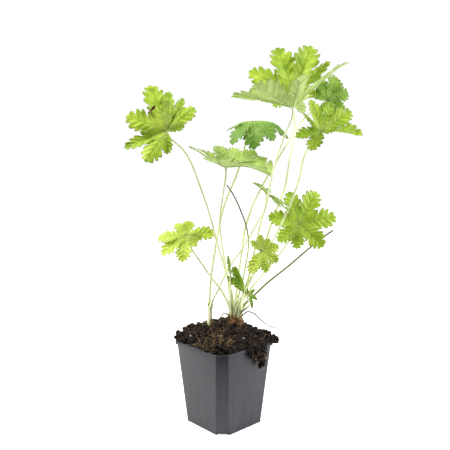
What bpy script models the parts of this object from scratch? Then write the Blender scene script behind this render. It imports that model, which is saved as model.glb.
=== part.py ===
"""Hardy geranium growing in a square nursery pot.

Metres, +Z up. The origin is the centre of the pot's underside, and the pot's front corner
points along -Y. Every leaf blade, leaf stalk, root and clod is its own closed solid.
"""

import math

import bmesh
import bpy
from mathutils import Matrix, Vector, noise

MM = 0.001
GAP = 0.3 * MM

# Pot: a standard 9 cm square nursery pot, turned so that one corner faces the viewer
POT_YAW = math.radians(42.7)
POT_HEIGHT = 96.5 * MM
POT_FOOT_HALF = 35.6 * MM
POT_WALL_TOP_HALF = 43.3 * MM
POT_RIM_HALF = 45.0 * MM
POT_RIM_HEIGHT = 3.5 * MM
POT_WALL = 1.1 * MM
POT_FLOOR = 1.4 * MM
POT_CHAMFER_FOOT = 10.6 * MM
POT_CHAMFER_TOP = 9.6 * MM
NOTCH_HEIGHT = 2.8 * MM
NOTCH_DEPTH = 3.4 * MM
NOTCH_WIDTH = 9.4 * MM
DRAIN_HOLE_RADIUS = 3.0 * MM
DRAIN_HOLE_RING = 19.0 * MM
DRAIN_CUTTER_DEPTH = 5.6 * MM

# Soil: peat filled to the rim and heaped round the crown
SOIL_OVERHANG = 2.4 * MM
SOIL_LEFT_DRAW_IN = 0.6
SOIL_LEDGE = 0.3 * MM
SOIL_EDGE_RISE = 9.0 * MM
SOIL_EDGE_FALL = 6.0 * MM
SOIL_EDGE_SHARPNESS = 8
SOIL_LEAST_RISE = 1.2 * MM
SOIL_HEAP = 6.0 * MM
SOIL_HEAP_WIDTH = 30.0 * MM
SOIL_LUMP = 2.6 * MM
SOIL_LUMP_SIZE = 13.0 * MM
SOIL_CELLS = 13

# Crown and side shoot: the woody rootstocks that the leaf stalks grow from
CROWN_AT = Vector((16.0, 12.0, 111.5)) * MM
CROWN_FOOT_RADIUS = 9.5 * MM
CROWN_TOP_RADIUS = 8.6 * MM
CROWN_HEIGHT = 10.0 * MM
SHOOT_AT = Vector((-17.0, 6.0, 109.5)) * MM
SHOOT_FOOT_RADIUS = 4.8 * MM
SHOOT_TOP_RADIUS = 4.0 * MM
SHOOT_HEIGHT = 8.0 * MM
SEAT_MARGIN = 8.5 * MM

# Clod: peat and fine roots that hang over the rim on the front right wall
CLOD_ALONG_WALL = 6.5 * MM
CLOD_HEIGHT = 83.5 * MM
CLOD_SIZE = (12.0 * MM, 2.8 * MM, 9.0 * MM)

# Leaves
BLADE_THICKNESS = 0.5 * MM
OUTLINE_STEPS = 42
LOBE_HALF_WIDTH = math.radians(27.0)
LOBE_SHOULDER_DROP = 0.55
LOBE_ROUNDNESS = 1.6
SINUS_SHARE = 0.40
STALK_TIP_RADIUS = 0.75 * MM
STALK_STRAIGHT_FOOT = 3.0 * MM
STALK_LAST_STRETCH = 5.0 * MM
ROOT_TIP_RADIUS = 0.5 * MM
CUP_CLEARANCE = 0.5 * MM
STALK_SIDES_RESOLUTION = 1
STALK_POINTS_PER_SPAN = 2

# Each leaf: centre in mm, the compass and height angles its upper face looks to,
# how far the lobes lift (+) or hang (-), and its lobes as (angle in degrees, length in mm).
LEAVES = {
    "leaf_01": ((-64, -20, 338), (-75, 20), -0.10,
                ((-105, 34), (-130, 45), (-159, 50), (157, 46), (92, 54), (58, 56), (34, 40))),
    "leaf_02": ((85, 40, 387), (-85, 20), 0.10,
                ((-78, 30), (-130, 36), (172, 53), (149, 64), (106, 62), (70, 65), (44, 60), (-10, 36))),
    "leaf_03": ((72, -45, 361), (100, 75), 0.38,
                ((-12, 67), (32, 57), (88, 46), (150, 74), (-150, 38), (-105, 46), (-60, 50))),
    "leaf_04": ((123, 60, 382), (-60, 25), -0.10,
                ((41, 50), (8, 48), (-38, 34), (75, 50), (112, 44), (160, 34))),
    "leaf_05": ((110, -4, 337), (-90, 45), -0.08,
                ((-173, 34), (-120, 38), (-84, 30), (-2, 50), (29, 50), (60, 48), (97, 52), (135, 44))),
    "leaf_06": ((35, 15, 351), (-90, 66), -0.45,
                ((178, 40), (135, 40), (90, 42), (45, 42), (0, 46), (-46, 38), (-92, 43), (-138, 38))),
    "leaf_07": ((2, 0, 298), (62, 70), -0.10,
                ((-62, 42), (-20, 46), (25, 46), (70, 42), (115, 42), (160, 44), (-152, 42))),
    "leaf_08": ((50, -10, 268), (24, 53), 0.10,
                ((90, 24), (40, 15), (-18, 18), (-62, 28), (-92, 26), (-126, 24), (140, 15))),
    "leaf_09": ((89, 20, 231), (-90, 25), -0.05,
                ((50, 46), (78, 38), (8, 43), (-40, 38), (-72, 29), (-104, 29), (-147, 35), (165, 38),
                 (105, 41))),
    "leaf_10": ((41, -40, 205), (-90, 25), 0.05,
                ((87, 19), (26, 21), (-20, 21), (-78, 22), (-119, 27), (124, 17))),
    "leaf_11": ((-45, 10, 218), (-95, 35), -0.10,
                ((-177, 33), (-142, 36), (-94, 31), (-36, 18), (3, 32), (40, 29), (102, 20))),
    "leaf_12": ((18, -15, 163), (-60, 35), 0.50,
                ((90, 16), (40, 12), (140, 12), (-120, 9))),
    "leaf_13": ((31, -18, 154), (-75, 25), -0.30,
                ((-70, 17), (-30, 15), (40, 12), (120, 9))),
    "leaf_14": ((7, -13, 176), (-90, 10), 0.40,
                ((90, 14), (60, 9), (120, 9))),
}

# Each leaf stalk: the leaf it carries, its radius at the foot in mm, and points along it in mm
# from the foot up. The last stretch to the blade is worked out from the leaf.
STALKS = {
    "stalk_01": ("leaf_01", 1.1, ((12.4, 10.6, 0), (9, 4, 151), (1, 1, 181), (-9, -4, 215), (-13, -6, 232),
                                  (-27, -12, 277), (-44, -17, 316))),
    "stalk_02": ("leaf_02", 1.2, ((15.6, 17, 0), (18, 18, 175), (22, 22, 204), (25, 24, 225), (31, 27, 244),
                                  (52, 33, 287), (68, 38, 313), (84, 44, 345))),
    "stalk_03": ("leaf_03", 1.1, ((20.9, 6.4, 0), (29, -2, 174), (37, -11, 215), (40, -15, 231),
                                  (47, -22, 259), (54, -31, 298), (65, -40, 334))),
    "stalk_04": ("leaf_04", 1.2, ((19.6, 12, 0), (32, 22, 163), (49, 33, 206), (60, 39, 237), (73, 44, 270),
                                  (81, 50, 313), (87, 54, 339), (98, 58, 357))),
    "stalk_05": ("leaf_05", 1.1, ((23.1, 12, 0), (42, 8, 187), (60, 5, 220), (74, 3, 251), (85, 2, 282),
                                  (94, 2, 317))),
    "stalk_06": ("leaf_06", 1.2, ((-18.0, 7.4, 0), (-17.6, 7.6, 137), (-15.5, 9, 167), (-10, 12, 205),
                                  (0, 15, 253), (17, 17, 296), (25, 17, 325))),
    "stalk_07": ("leaf_07", 1.1, ((9.0, 12, 0), (3.5, 12, 171), (-2, 9, 205), (-5, 6, 231), (-1, 2, 269))),
    "stalk_08": ("leaf_08", 0.9, ((-15.0, 4.6, 0), (-14.8, 4.8, 134), (-5, 1, 158), (6, -3, 184),
                                  (17, -6, 200), (37, -10, 235), (47, -12, 256))),
    "stalk_09": ("leaf_09", 1.1, ((20.0, 17.2, 0), (35, 23, 156), (47, 25, 170), (66, 25, 194),
                                  (78, 24, 211))),
    "stalk_10": ("leaf_10", 0.9, ((18.2, 5.0, 0), (24, -9, 160), (33, -24, 182))),
    "stalk_11": ("leaf_11", 1.1, ((9.6, 15.6, 0), (-3, 17, 151), (-15, 17, 167), (-27, 15, 185),
                                  (-39, 13, 204))),
    "stalk_12": ("leaf_12", 0.8, ((15.3, 4.4, 0), (15, -5, 145))),
    "stalk_13": ("leaf_13", 0.8, ((23.0, 8.6, 0), (28.5, -3, 138), (30, -13, 145))),
    "stalk_14": ("leaf_14", 0.8, ((10.4, 7.4, 0), (8, -5, 150))),
}

# Leafless stalks: radius in mm and points in mm
BARE_STALKS = {
    "bare_stalk_right": (1.1, ((23.4, 15.6, 0), (43, 23, 151), (79, 29, 180), (109, 33, 205), (122, 34, 215),
                               (132, 34, 222))),
    "bare_stalk_dark": (0.8, ((15.8, 8.2, 0), (23, -5, 176), (27.5, -12, 216), (25, -15, 232),
                              (19, -17, 249), (9, -18, 270), (3, -18, 279))),
}

# Roots that stand clear of the soil: radius and points in mm, from the rootstock outwards
ROOTS = {
    "root_right": (0.9, ((26.0, 10, 118), (28.5, 9, 122.5), (32, 7, 125), (37, 6, 123.5), (46, 4, 116.5),
                         (56, 3, 111.5), (63, 3, 109.5))),
    "root_left": (0.8, ((5.8, 10, 118), (4, 9, 123.5), (0, 8, 125.5), (-3.5, 7.5, 122), (-5.5, 7, 116))),
}

PEAT = (0.035, 0.022, 0.016)
LEAF_GREEN = (0.27, 0.47, 0.08)
STALK_GREEN = (0.50, 0.62, 0.26)


def clear_scene():
    for old in list(bpy.data.objects):
        bpy.data.objects.remove(old, do_unlink=True)


def make_collection(name):
    collection = bpy.data.collections.new(name)
    bpy.context.scene.collection.children.link(collection)
    return collection


def make_material(name, colour, roughness, metallic=0.0):
    material = bpy.data.materials.new(name)
    material.use_nodes = True
    shader = material.node_tree.nodes["Principled BSDF"]
    shader.inputs["Base Color"].default_value = (*colour, 1.0)
    shader.inputs["Roughness"].default_value = roughness
    shader.inputs["Metallic"].default_value = metallic
    return material


def add_mesh_object(name, bm, material, collection):
    """Turn a bmesh into a named object with outward faces."""
    bmesh.ops.recalc_face_normals(bm, faces=bm.faces)
    mesh = bpy.data.meshes.new(name)
    bm.to_mesh(mesh)
    bm.free()
    mesh.materials.append(material)
    part = bpy.data.objects.new(name, mesh)
    collection.objects.link(part)
    return part


def set_ring(verts, half, chamfer, height):
    """Place eight corner points on a square with cut corners at one height."""
    for vert in verts:
        along_x = abs(vert.co.x) > abs(vert.co.y)
        reach_x = half if along_x else half - chamfer
        reach_y = half - chamfer if along_x else half
        vert.co = (math.copysign(reach_x, vert.co.x), math.copysign(reach_y, vert.co.y), height)


def pot_solid():
    """One closed pot wall, drawn ring by ring from the underside out, up, over and in."""
    bm = bmesh.new()
    bmesh.ops.create_circle(bm, cap_ends=True, segments=4, radius=POT_FOOT_HALF * math.sqrt(2.0))
    turn = Matrix.Rotation(math.radians(45.0), 3, "Z")
    bmesh.ops.rotate(bm, cent=(0, 0, 0), matrix=turn, verts=bm.verts)
    bmesh.ops.bevel(bm, geom=bm.verts[:], affect="VERTICES", offset=POT_CHAMFER_FOOT, segments=1,
                    profile=0.5, material=-1)
    set_ring(bm.verts, POT_FOOT_HALF, POT_CHAMFER_FOOT, 0.0)
    slope = (POT_WALL_TOP_HALF - POT_FOOT_HALF) / POT_HEIGHT
    step_height = POT_HEIGHT - POT_RIM_HEIGHT
    step_half = POT_FOOT_HALF + slope * step_height
    inner_foot = POT_FOOT_HALF - POT_WALL + slope * POT_FLOOR
    rings = (
        (step_half, POT_CHAMFER_TOP, step_height),
        (POT_RIM_HALF, POT_CHAMFER_TOP, step_height),
        (POT_RIM_HALF, POT_CHAMFER_TOP, POT_HEIGHT),
        (POT_WALL_TOP_HALF - POT_WALL, POT_CHAMFER_TOP, POT_HEIGHT),
        (inner_foot, POT_CHAMFER_FOOT, POT_FLOOR),
    )
    underside = bm.faces[:][0]
    face = underside
    for half, chamfer, height in rings:
        grown = bmesh.ops.extrude_face_region(bm, geom=[face])["geom"]
        if face is not underside:
            bmesh.ops.delete(bm, geom=[face], context="FACES_ONLY")
        face = next(item for item in grown if isinstance(item, bmesh.types.BMFace))
        set_ring(face.verts, half, chamfer, height)
    return bm


def drain_cutter(collection):
    """Four drain holes in the floor and a notch under each cut corner, as one cutter."""
    bm = bmesh.new()
    for quarter in range(4):
        angle = math.radians(90.0 * quarter)
        across = Matrix.Rotation(angle, 4, "Z")
        hole = across @ Matrix.Translation((DRAIN_HOLE_RING, 0, 0))
        bmesh.ops.create_cone(bm, cap_ends=True, segments=16, radius1=DRAIN_HOLE_RADIUS,
                              radius2=DRAIN_HOLE_RADIUS, depth=DRAIN_CUTTER_DEPTH, matrix=hole)
        corner = (POT_FOOT_HALF - POT_CHAMFER_FOOT / 2) * math.sqrt(2.0)
        place = Matrix.Rotation(angle + math.radians(45.0), 4, "Z") @ Matrix.Translation((corner, 0, 0))
        size = Matrix.Diagonal((2 * NOTCH_DEPTH, NOTCH_WIDTH, 2 * NOTCH_HEIGHT, 1.0))
        bmesh.ops.create_cube(bm, size=1.0, matrix=place @ size)
    cutter = add_mesh_object("drain_cutter", bm, make_material("cutter", (1, 0, 0), 0.5), collection)
    cutter.hide_render = True
    cutter.display_type = "WIRE"
    return cutter


def build_pot(parts, cutters):
    plastic = make_material("pot_plastic", (0.075, 0.078, 0.085), 0.42)
    pot = add_mesh_object("nursery_pot", pot_solid(), plastic, parts)
    cutter = drain_cutter(cutters)
    cut = pot.modifiers.new("drainage", "BOOLEAN")
    cut.operation = "DIFFERENCE"
    cut.solver = "EXACT"
    cut.object = cutter
    pot.rotation_euler.z = POT_YAW
    cutter.rotation_euler.z = POT_YAW


def heap_height(x, y):
    """Height of the soil's top at a world point, flat under each rootstock."""
    away = math.hypot(x - CROWN_AT.x, y - CROWN_AT.y)
    heap = SOIL_HEAP * math.exp(-((away / SOIL_HEAP_WIDTH) ** 2))
    lump = SOIL_LUMP * noise.noise(Vector((x, y, 0.0)) / SOIL_LUMP_SIZE)
    height = POT_HEIGHT + SOIL_EDGE_RISE + heap + lump
    for seat, radius in ((CROWN_AT, CROWN_FOOT_RADIUS), (SHOOT_AT, SHOOT_FOOT_RADIUS)):
        if math.hypot(x - seat.x, y - seat.y) < radius + SEAT_MARGIN:
            height = seat.z
    return height


def build_soil(parts):
    """Peat that fills the pot: a column with cut corners, a ledge over the rim and a lumpy top."""
    peat = make_material("peat", PEAT, 0.95)
    bm = bmesh.new()
    bmesh.ops.create_cube(bm, size=2.0)
    bmesh.ops.subdivide_edges(bm, edges=bm.edges[:], cuts=SOIL_CELLS - 1, use_grid_fill=True)
    foot_z = POT_FLOOR + GAP
    mouth_z = POT_HEIGHT + GAP
    foot_half = POT_FOOT_HALF - POT_WALL - GAP
    mouth_half = POT_WALL_TOP_HALF - POT_WALL - 2 * GAP
    spin = Matrix.Rotation(POT_YAW, 3, "Z")
    for vert in bm.verts:
        x, y, level = vert.co
        row = round((level + 1.0) / 2.0 * SOIL_CELLS)
        if row >= SOIL_CELLS - 1:
            toward_right = (spin @ Vector((x, y, 0.0))).x
            half = POT_RIM_HALF + SOIL_OVERHANG * min(max(toward_right, -SOIL_LEFT_DRAW_IN), 1.0)
        else:
            half = foot_half + (mouth_half - foot_half) * min(row / (SOIL_CELLS - 2), 1.0)
        cut = 2.0 - POT_CHAMFER_FOOT / foot_half
        squeeze = min(1.0, cut / max(abs(x) + abs(y), 1e-6))
        x = x * squeeze * half
        y = y * squeeze * half
        world = spin @ Vector((x, y, 0.0))
        if row == SOIL_CELLS:
            z = heap_height(world.x, world.y)
            inward = max(abs(x), abs(y)) / half
            z = max(z - SOIL_EDGE_FALL * inward ** SOIL_EDGE_SHARPNESS, mouth_z + SOIL_LEAST_RISE)
        elif row == SOIL_CELLS - 1:
            z = mouth_z + SOIL_LEDGE
        else:
            z = foot_z + (mouth_z - foot_z) * row / (SOIL_CELLS - 2)
        vert.co = (x, y, z)
    soil = add_mesh_object("potting_soil", bm, peat, parts)
    soil.rotation_euler.z = POT_YAW


def build_rootstock(name, seat, foot_radius, top_radius, height, parts):
    bark = make_material(name + "_bark", (0.30, 0.19, 0.09), 0.8)
    bm = bmesh.new()
    middle = Matrix.Translation(seat + Vector((0, 0, GAP + height / 2)))
    bmesh.ops.create_cone(bm, cap_ends=True, segments=14, radius1=foot_radius, radius2=top_radius,
                          depth=height, matrix=middle)
    add_mesh_object(name, bm, bark, parts)


def build_clod(parts):
    """A flat clod of peat and fine roots, hanging down the wall just outside the rim."""
    peat = make_material("clod_peat", PEAT, 0.95)
    bm = bmesh.new()
    wall_half = POT_FOOT_HALF + (POT_WALL_TOP_HALF - POT_FOOT_HALF) * CLOD_HEIGHT / POT_HEIGHT
    out = wall_half + GAP + CLOD_SIZE[1]
    place = Matrix.Translation((CLOD_ALONG_WALL, -out, CLOD_HEIGHT)) @ Matrix.Diagonal((*CLOD_SIZE, 1.0))
    bmesh.ops.create_icosphere(bm, subdivisions=2, radius=1.0, matrix=place)
    clod = add_mesh_object("hanging_clod", bm, peat, parts)
    clod.rotation_euler.z = POT_YAW


def smooth_path(points, per_span):
    """Points on a smooth curve that passes through the given ones."""
    headings = []
    for index, point in enumerate(points):
        before = point - points[max(index - 1, 0)]
        after = points[min(index + 1, len(points) - 1)] - point
        heading = before.normalized() * after.length + after.normalized() * before.length
        headings.append((heading if heading.length else before + after).normalized())
    path = []
    for index in range(len(points) - 1):
        start, end = points[index], points[index + 1]
        span = (end - start).length
        for step in range(per_span):
            t = step / per_span
            path.append(start * (2 * t ** 3 - 3 * t ** 2 + 1) + end * (3 * t ** 2 - 2 * t ** 3)
                        + headings[index] * span * (t ** 3 - 2 * t ** 2 + t)
                        + headings[index + 1] * span * (t ** 3 - t ** 2))
    path.append(points[-1])
    return path


def build_tube(name, points, foot_radius, tip_radius, material, parts):
    """A tapering round stalk or root along a smooth path."""
    path = smooth_path(points, STALK_POINTS_PER_SPAN)
    curve = bpy.data.curves.new(name, "CURVE")
    curve.dimensions = "3D"
    curve.bevel_depth = foot_radius
    curve.bevel_resolution = STALK_SIDES_RESOLUTION
    curve.use_fill_caps = True
    spline = curve.splines.new("POLY")
    spline.points.add(len(path) - 1)
    for index, (knot, place) in enumerate(zip(spline.points, path)):
        share = index / (len(path) - 1)
        knot.co = (*place, 1.0)
        knot.radius = 1.0 + (tip_radius / foot_radius - 1.0) * share
    curve.materials.append(material)
    tube = bpy.data.objects.new(name, curve)
    parts.objects.link(tube)


def leaf_frame(leaf):
    """Centre, and a matrix whose columns are the blade's right, up and facing directions."""
    centre, facing, _, _ = LEAVES[leaf]
    compass = math.radians(facing[0])
    lift = math.radians(facing[1])
    normal = Vector((math.cos(lift) * math.cos(compass), math.cos(lift) * math.sin(compass),
                     math.sin(lift)))
    right = Vector((0, 0, 1)).cross(normal).normalized()
    up = normal.cross(right)
    return Vector(centre) * MM, Matrix((right, up, normal)).transposed()


def lobe_reach(angle, lobes):
    """Length of the blade from its centre towards an angle, as the longest lobe there gives."""
    mean = sum(length for _, length in lobes) / len(lobes)
    reach = SINUS_SHARE * mean
    for direction, length in lobes:
        turn = math.remainder(angle - math.radians(direction), math.tau)
        share = abs(turn) / LOBE_HALF_WIDTH
        if share < 1.0:
            reach = max(reach, length * (1.0 - LOBE_SHOULDER_DROP * share ** LOBE_ROUNDNESS))
    return reach * MM


def build_leaf(name, parts):
    """A lobed blade: one ring for the outline, one half way in, and a pole at the stalk."""
    _, _, lift, lobes = LEAVES[name]
    green = make_material(name + "_blade", LEAF_GREEN, 0.5)
    centre, axes = leaf_frame(name)
    longest = max(length for _, length in lobes) * MM
    bm = bmesh.new()
    bmesh.ops.create_circle(bm, cap_ends=False, segments=OUTLINE_STEPS, radius=1.0)
    outline = bm.edges[:]
    grown = bmesh.ops.extrude_edge_only(bm, edges=outline)["geom"]
    inner = [item for item in grown if isinstance(item, bmesh.types.BMVert)]
    inner_edges = [item for item in grown if isinstance(item, bmesh.types.BMEdge)]
    inner_loop = [edge for edge in inner_edges if all(vert in inner for vert in edge.verts)]
    bmesh.ops.scale(bm, vec=(0.5, 0.5, 1.0), verts=inner)
    grown = bmesh.ops.extrude_edge_only(bm, edges=inner_loop)["geom"]
    pole = [item for item in grown if isinstance(item, bmesh.types.BMVert)]
    bmesh.ops.pointmerge(bm, verts=pole, merge_co=(0, 0, 0))
    for vert in bm.verts:
        share = vert.co.length
        if share < 1e-6:
            vert.co = centre
            continue
        angle = math.atan2(vert.co.y, vert.co.x)
        reach = lobe_reach(angle, lobes) * share
        rise = lift * reach * reach / longest
        vert.co = centre + axes @ Vector((reach * math.cos(angle), reach * math.sin(angle), rise))
    blade = add_mesh_object(name, bm, green, parts)
    skin = blade.modifiers.new("thickness", "SOLIDIFY")
    skin.thickness = BLADE_THICKNESS
    skin.offset = 0.0


def foot_height(points):
    """Height of the rootstock top that a stalk's foot stands on."""
    on_shoot = points[0][0] < 0
    seat = SHOOT_AT if on_shoot else CROWN_AT
    tall = SHOOT_HEIGHT if on_shoot else CROWN_HEIGHT
    return seat.z + GAP + tall + GAP


def stalk_points(points):
    """The stalk's points in metres, starting straight up from its foot."""
    foot = Vector((points[0][0] * MM, points[0][1] * MM, foot_height(points)))
    return [foot, foot + Vector((0, 0, STALK_STRAIGHT_FOOT)), *(Vector(point) * MM for point in points[1:])]


def build_stalks(parts):
    green = make_material("stalk_green", STALK_GREEN, 0.5)
    for name, (leaf, radius, points) in STALKS.items():
        centre, axes = leaf_frame(leaf)
        normal = axes.col[2]
        clearance = BLADE_THICKNESS / 2 + GAP + abs(LEAVES[leaf][2]) * CUP_CLEARANCE
        end = centre - normal * clearance
        route = stalk_points(points) + [end - normal * STALK_LAST_STRETCH, end]
        build_tube(name, route, radius * MM, STALK_TIP_RADIUS, green, parts)
    for name, (radius, points) in BARE_STALKS.items():
        build_tube(name, stalk_points(points), radius * MM, STALK_TIP_RADIUS, green, parts)


def build_roots(parts):
    pale = make_material("root_skin", (0.62, 0.50, 0.30), 0.7)
    for name, (radius, points) in ROOTS.items():
        route = [Vector(point) * MM for point in points]
        build_tube(name, route, radius * MM, ROOT_TIP_RADIUS, pale, parts)


def main():
    clear_scene()
    parts = make_collection("hardy_geranium")
    cutters = make_collection("cutters")
    build_pot(parts, cutters)
    build_soil(parts)
    build_clod(parts)
    build_rootstock("crown", CROWN_AT, CROWN_FOOT_RADIUS, CROWN_TOP_RADIUS, CROWN_HEIGHT, parts)
    build_rootstock("side_shoot", SHOOT_AT, SHOOT_FOOT_RADIUS, SHOOT_TOP_RADIUS, SHOOT_HEIGHT, parts)
    build_stalks(parts)
    build_roots(parts)
    for leaf in LEAVES:
        build_leaf(leaf, parts)


main()
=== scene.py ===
"""Looks of a young hardy geranium in its nursery pot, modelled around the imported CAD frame."""

import math
import random

import bmesh
import bpy
from mathutils import Matrix, Vector, noise


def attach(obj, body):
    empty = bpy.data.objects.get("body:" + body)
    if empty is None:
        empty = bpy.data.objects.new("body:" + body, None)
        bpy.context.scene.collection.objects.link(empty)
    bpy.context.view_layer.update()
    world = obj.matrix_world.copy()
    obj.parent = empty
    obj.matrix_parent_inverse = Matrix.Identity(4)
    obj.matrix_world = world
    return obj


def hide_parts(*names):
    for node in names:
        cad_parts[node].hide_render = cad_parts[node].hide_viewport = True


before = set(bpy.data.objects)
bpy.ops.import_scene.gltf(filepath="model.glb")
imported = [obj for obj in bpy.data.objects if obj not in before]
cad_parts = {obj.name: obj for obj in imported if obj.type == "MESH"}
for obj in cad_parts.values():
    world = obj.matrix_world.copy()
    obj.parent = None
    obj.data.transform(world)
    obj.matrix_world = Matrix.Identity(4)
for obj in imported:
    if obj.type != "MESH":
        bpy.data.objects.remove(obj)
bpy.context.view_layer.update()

MM = 0.001
BODY = "root"

# Camera and studio
CAMERA_AT = Vector((1.0, -660.0, 305.0)) * MM
CAMERA_DIP = 0.11
CAMERA_LENS = 46.2
CAMERA_SENSOR = 36.0
LAMP_AIM = Vector((0.02, 0.0, 0.25))
# Direction of the dim room behind the camera
DIM_ROOM = (0.1, -0.98, 0.15)
# The floor sheet's half width, and how far it reaches in front of the pot's middle
FLOOR_HALF = 4.0
FLOOR_FRONT = 0.155

# Pot: half widths across its flats and the size of its cut corners, as in the CAD frame
POT_YAW = math.radians(42.7)
POT_HEIGHT = 96.5 * MM
POT_FOOT_HALF = 35.6 * MM
POT_WALL_TOP_HALF = 43.3 * MM
POT_RIM_HALF = 45.0 * MM
POT_WALL = 1.1 * MM
POT_CHAMFER = 9.6 * MM
POT_WALL_TOP = 93.0 * MM
POT_FLOOR = 1.4 * MM
POT_FOOT_CHAMFER = 10.6 * MM
NOTCH_HEIGHT = 2.8 * MM
NOTCH_DEPTH = 3.4 * MM
NOTCH_WIDTH = 9.4 * MM
DRAIN_RADIUS = 3.0 * MM
DRAIN_RING = 19.0 * MM

# Soil: middle of the heap, height of its edge and rise to its middle, and what lies on it,
# with the places of the perlite grains in mm
HEAP_AT = Vector((12.0, 12.0, 0.0)) * MM
SOIL_EDGE = 96.6 * MM
SOIL_MOUND = 12.5 * MM
SOIL_CELLS = 170
SOIL_FOOT = 2.0 * MM
CRUMBS = 620
FIBRES = 230
TUFT_FIBRES = 110
FIBRE_STEPS = 7
PERLITE = ((-38, -15), (-30, 20), (22, -26), (30, 22), (-6, -30), (-8, 38))

# The clod that hangs over the front right wall: middle of the rim's outer edge above it, and
# the directions along and out of that wall
CLOD_AT = Vector((36.0, -28.0, 97.0)) * MM
CLOD_ALONG = Vector((0.735, 0.678, 0.0))
CLOD_OUT = Vector((0.678, -0.735, 0.0))
CLOD_FIBRES = 34
CLOD_BITS = 9

# Where each run of random numbers starts
LITTER_SEED = 11
CLOD_SEED = 23
BARE_STALK_SEED = 40
ROOT_SEED = 60

# Rootstocks: centre of the foot, height of the top, and how deep a stalk's foot stands in it
CROWN_AT = Vector((13.5, 12.0, 111.8)) * MM
CROWN_TOP = 122.1 * MM
SHOOT_AT = Vector((-17.0, 6.0, 109.8)) * MM
SHOOT_TOP = 118.1 * MM
FOOT_DEPTH = 3.0 * MM
# Middle of the stalk feet on the crown, and the share of their distance from it that they keep
CROWN_SPREAD = Vector((16.0, 12.0, 0.0)) * MM
FEET_TOGETHER = 0.74
# Where the side shoot's stem parts into its stalks, and from there the foot and tip of the
# sheath point on each side, all in mm
SHOOT_FORK = (-16.0, 6.2, 137.0)
SHOOT_POINTS = (((-2.2, -0.6, -4.0), (-3.6, -0.6, 3.5)), ((1.8, -1.0, -4.0), (2.6, -1.2, 2.0)))

# Blade mesh: rows follow the side veins from the midrib to the edge. Shares are of a lobe's
# length: where its edge starts, how far the sinus beside it reaches, and its half width.
# Each notch between teeth cuts that share of the way in to the midrib. Two lobes with more than
# the open gap between them don't join. A lobe folds up beside its midrib, twists towards its tip,
# and has a raised rib below for a share of its length.
BLADE_ROWS = 76
BLADE_COLUMNS = 12
BLADE_THICKNESS = 0.35 * MM
BASE_SHARE = 0.24
SINUS_SHARE = 0.40
TEETH = 5.5
NOTCHES = (0.0, 0.28, 0.58, 0.30, 0.55, 0.38, 0.30)
OPEN_GAP = math.radians(68.0)
LOBE_HALF_WIDTH = 0.25
FOLD = 0.16
TWIST = 0.16
RIB_REACH = 0.88

# Colours of each leaf tint: veins, light, middle and dark tissue, and worn tooth tips
LEAF_TINTS = {
    "fresh": ("#86a42a", "#d6e85e", "#bcd646", "#9ebc34", "#7c8440"),
    "sunny": ("#94b038", "#dcec68", "#c4de4e", "#a8c63c", "#7c8440"),
    "bright": ("#b0c84c", "#e8f480", "#d2e65e", "#b8d048", "#b08250"),
    "shaded": ("#688e24", "#a0be38", "#88ac2a", "#6e941e", "#7c8440"),
    "deep": ("#6e9a44", "#a0c068", "#88b052", "#6c9840", "#7c8440"),
    "pale": ("#b4cc7c", "#dceca0", "#cae088", "#b2ca72", "#7c8440"),
}

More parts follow.
